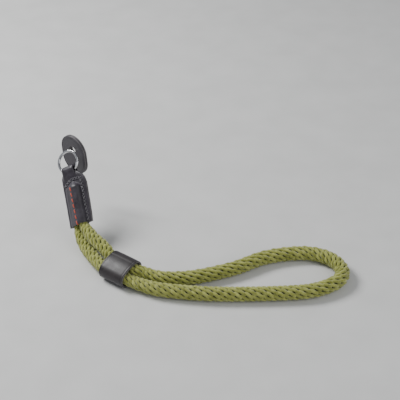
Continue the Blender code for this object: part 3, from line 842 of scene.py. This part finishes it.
# %% Keeper
def stadium_point(t, wide, tall):
    """Point and outward direction on a stadium outline, t from 0 to 1."""
    r, reach = tall / 2, (wide - tall) / 2
    total = 2 * math.pi * r + 4 * reach
    s = t * total
    for side in (1, -1):
        if s <= math.pi * r:
            a = s / r - math.pi / 2
            way = Vector((side * math.cos(a), side * math.sin(a), 0))
            return Vector((side * reach, 0, 0)) + way * r, way
        s -= math.pi * r
        if s <= 2 * reach:
            return Vector((side * (reach - s), side * r, 0)), Vector((0, side, 0))
        s -= 2 * reach
    return Vector((reach, -r, 0)), Vector((0, -1, 0))


def band_profile():
    """(place along the band, height over its middle layer) round the wall, in metres."""
    half, wall = KEEPER_LENGTH / 2, KEEPER_WALL / 2
    rim = 0.35 * MM
    points = []
    for x in steps(-half + rim, half - rim, 56):
        crease = 0.16 * MM * math.exp(-((abs(x) - (half - 1.25 * MM)) / (0.22 * MM)) ** 2)
        points.append((x, wall - crease))
    for a in (30, 60, 90):
        points.append((half - rim + rim * math.sin(math.radians(a)),
                       wall - rim + rim * math.cos(math.radians(a))))
    for x in steps(half, -half, 10)[0:]:
        points.append((x, -wall))
    for a in (90, 60, 30):
        points.append((-half + rim - rim * math.sin(math.radians(a)),
                       wall - rim + rim * math.cos(math.radians(a))))
    return points


def keeper_piece(count=168):
    place = matrix(KEEPER_LEGS, KEEPER_AXIS.cross(KEEPER_LEGS), KEEPER_AXIS, KEEPER_CENTRE)
    profile = band_profile()
    flat = (KEEPER_WIDE - KEEPER_TALL) / 2
    bm = bmesh.new()
    rows = []
    for i in range(count):
        base, way = stadium_point(i / count, KEEPER_WIDE - KEEPER_WALL, KEEPER_TALL - KEEPER_WALL)
        row = []
        for x, height in profile:
            crown = 0.45 * MM * max(0.0, 1 - (base.x / flat) ** 2)
            swell = 0.15 * MM * (1 - (2 * x / KEEPER_LENGTH) ** 2) + crown if height > 0 else crown
            row.append(bm.verts.new(place @ (base + way * (height + swell) + Vector((0, 0, x)))))
        rows.append(row)
    for i in range(count):
        low, high = rows[i], rows[(i + 1) % count]
        for j in range(len(profile)):
            k = (j + 1) % len(profile)
            bm.faces.new((low[j], low[k], high[k], high[j]))
    bmesh.ops.recalc_face_normals(bm, faces=bm.faces)
    mesh = bpy.data.meshes.new("keeper_band")
    bm.to_mesh(mesh)
    bm.free()
    ob = put("keeper_band", mesh, keeper_leather)
    mesh.materials.append(edge_leather)
    for p in mesh.polygons:
        p.material_index = 1 if abs(p.normal.dot(KEEPER_AXIS)) > 0.8 else 0
    shade_smooth(ob, 50)
    return ob


keeper = keeper_piece()

# %% [markdown]
# The guard is a thick leather patch with round ends. Its section, with a pressed line near the rim and
# a groove between its two layers, is carried round the outline; the hole for the lug is cut through.

# %% Guard
GUARD_WIDE, GUARD_TOP, GUARD_BOTTOM = 22.4 * MM, 10.4 * MM, 18.0 * MM
GUARD_THICK, GUARD_HOLE, GUARD_SET_BACK = 2.8 * MM, 3.0 * MM, 2.5 * MM
PRESS_IN, PRESS_DEEP = 1.35 * MM, 0.16 * MM         # the pressed line, in from the rim
facing = math.radians(180 + 46.0)
GUARD_FACE = Vector((math.cos(facing), math.sin(facing), 0))


def guard_section():
    """(distance in from the outline, height) from the front's middle over the rim to the back's middle."""
    half, ease, deep = GUARD_THICK / 2, 0.45 * MM, GUARD_WIDE / 2
    points = []
    for inward in steps(deep, ease, 60)[1:]:
        pressed = PRESS_DEEP * math.exp(-((inward - PRESS_IN) / (0.17 * MM)) ** 2)
        points.append((inward, half - pressed))
    for a in (30, 60, 90):
        points.append((ease - ease * math.sin(math.radians(a)),
                       half - ease + ease * math.cos(math.radians(a))))
    for z in steps(half - ease, -half + ease, 14)[1:-1]:
        points.append((0.24 * MM * math.exp(-(z / (0.16 * MM)) ** 2), z))
    for a in (90, 60, 30, 0):
        points.append((ease - ease * math.sin(math.radians(a)),
                       -half + ease - ease * math.cos(math.radians(a))))
    return points + [(inward, -half) for inward in steps(ease, deep, 20)[1:-1]]


def guard_piece(count=144):
    half_long = (GUARD_TOP + GUARD_BOTTOM - GUARD_WIDE) / 2
    middle = (GUARD_TOP - GUARD_BOTTOM) / 2
    side = Vector((0, 0, 1)).cross(GUARD_FACE)
    place = matrix(side, GUARD_FACE.cross(side), GUARD_FACE, -GUARD_FACE * (GUARD_SET_BACK + GUARD_THICK / 2))
    rings = []
    for inward, height in guard_section():
        ring = []
        for i in range(count):
            a = 2 * math.pi * (i + 0.5) / count
            shift = half_long if a < math.pi else -half_long
            r = GUARD_WIDE / 2 - inward
            ring.append(place @ Vector((r * math.cos(a), middle + shift + r * math.sin(a), height)))
        rings.append(ring)
    body = loft("guard_body", rings, [guard_leather, edge_leather])
    hole = cylinder("lug_hole", GUARD_HOLE, 3 * GUARD_THICK, place)
    done = cut(body, [hole], "guard_leather_piece")
    for p in done.data.polygons:
        p.material_index = 1 if abs(p.normal.dot(GUARD_FACE)) < 0.5 else 0
    shade_smooth(done, 50)
    return done


guard = guard_piece()

# %% [markdown]
# The split ring is a flat steel wire, wound twice, with small brushing marks along the wire.

# %% Ring
def jog(deg):
    """-1 on the first turn, 1 on the second, with a smooth step half way along the wire."""
    return 2 * smoothstep(360 - RING_JOG_DEG / 2, 360 + RING_JOG_DEG / 2, deg) - 1


def steel_material():
    mat, tree, bsdf = shader("polished_steel")
    coords = tree.add("ShaderNodeTexCoord").outputs["Object"]
    marks = tree.add("ShaderNodeTexNoise", {"Vector": coords, "Scale": 900.0, "Detail": 4.0})
    colour = ramp(tree, marks.outputs["Fac"], ((0.3, (0.78, 0.78, 0.80)), (0.7, (0.94, 0.94, 0.95))))
    tree.tree.links.new(colour, bsdf.inputs["Base Color"])
    tree.tree.links.new(tree.remap(marks.outputs["Fac"], 0.0, 4.0), bsdf.inputs["Roughness"])
    bsdf.inputs["Metallic"].default_value = 1.0
    return mat


def ring_piece():
    section = bpy.data.curves.new("wire_section", "CURVE")
    section.dimensions = "2D"
    section.fill_mode = "NONE"
    corners, round_by = [], 0.2 * MM
    for quarter in range(4):
        cx = (WIRE_W / 2 - round_by) * (1 if quarter in (0, 3) else -1)
        cy = (WIRE_T / 2 - round_by) * (1 if quarter in (0, 1) else -1)
        for a in steps(90 * quarter, 90 * quarter + 90, 3):
            corners.append((cx + round_by * math.cos(math.radians(a)),
                            cy + round_by * math.sin(math.radians(a))))
    spline = section.splines.new("POLY")
    spline.points.add(len(corners) - 1)
    for p, (x, y) in zip(spline.points, reversed(corners)):
        p.co = (x, y, 0, 1)
    spline.use_cyclic_u = True
    shape = put("wire_section", section)
    wire = bpy.data.curves.new("ring_wire", "CURVE")
    wire.dimensions = "3D"
    wire.twist_mode = "Z_UP"
    wire.bevel_mode = "OBJECT"
    wire.bevel_object = shape
    wire.use_fill_caps = True
    turns = wire.splines.new("POLY")
    degrees = steps(20, 700, 272)
    turns.points.add(len(degrees) - 1)
    rise = (WIRE_T + RING_TURN_GAP) / 2
    for p, deg in zip(turns.points, degrees):
        a = math.radians(deg)
        p.co = (RING_RADIUS * math.cos(a), RING_RADIUS * math.sin(a), rise * jog(deg), 1)
    ob = put("ring_wire", wire)
    ob.matrix_world = matrix(ACROSS, RING_UP, ACROSS.cross(RING_UP), HINGE + RING_UP * RING_OFFSET)
    done = baked(ob, "steel_ring")
    bpy.data.objects.remove(shape, do_unlink=True)
    done.data.materials.clear()
    done.data.materials.append(steel_material())
    shade_smooth(done, 40)
    return done


ring = ring_piece()

# %% [markdown]
# Each piece rides on its body and stands for its CAD node, which is hidden. The rope rides on the strap
# with its fibres, its core, the threads and the keeper.

# %% What rides on what
for piece, body, node, slot in ((rope, "strap", "rope", "olive_rope"),
                                (end_tab, "strap", "end_tab", "tab_leather"),
                                (keeper, "strap", "keeper", "keeper_leather"), (ring, "ring", "split_ring",
                                                                                "ring_steel"),
                                (guard, "ring", "guard_patch", "guard_leather")):
    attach(piece, body)
    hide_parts(node)
for piece in [fuzz, core] + threads:
    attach(piece, "strap")

# %% [markdown]
# A pale floor under the strap, a broad light from the upper left and behind, and a weak fill.

# %% Floor and light
def floor_material():
    mat, tree, bsdf = shader("pale_floor")
    coords = tree.add("ShaderNodeTexCoord").outputs["Object"]
    noise = tree.add("ShaderNodeTexNoise", {"Vector": coords, "Scale": 40.0})
    colour = ramp(tree, noise.outputs["Fac"], ((0.3, (0.60, 0.60, 0.59)), (0.7, (0.64, 0.64, 0.63))))
    tree.tree.links.new(colour, bsdf.inputs["Base Color"])
    bsdf.inputs["Roughness"].default_value = 0.7
    return mat


bm = bmesh.new()
bmesh.ops.create_grid(bm, x_segments=1, y_segments=1, size=3.0,
                      matrix=Matrix.Translation((0, 0, TABLE_Z - 0.15 * MM)))
floor_mesh = bpy.data.meshes.new("floor")
bm.to_mesh(floor_mesh)
bm.free()
floor = put("floor", floor_mesh, floor_material())


def area_light(name, at, towards, size, watts, colour=(1, 1, 1)):
    data = bpy.data.lights.new(name, "AREA")
    data.size = size
    data.energy = watts
    data.color = colour
    ob = bpy.data.objects.new(name, data)
    bpy.context.scene.collection.objects.link(ob)
    ob.location = at
    ob.rotation_euler = (Vector(towards) - Vector(at)).to_track_quat("-Z", "Y").to_euler()


area_light("key", (-0.45, 0.25, 0.60), (0.05, -0.07, -0.04), 0.35, 9.0)
area_light("fill", (0.55, -0.55, 0.45), (0.05, -0.07, -0.04), 0.60, 3.0)
world = bpy.data.worlds.new("studio")
bpy.context.scene.world = world
world.use_nodes = True
world.node_tree.nodes["Background"].inputs["Color"].default_value = (0.75, 0.78, 0.82, 1)
world.node_tree.nodes["Background"].inputs["Strength"].default_value = 0.35
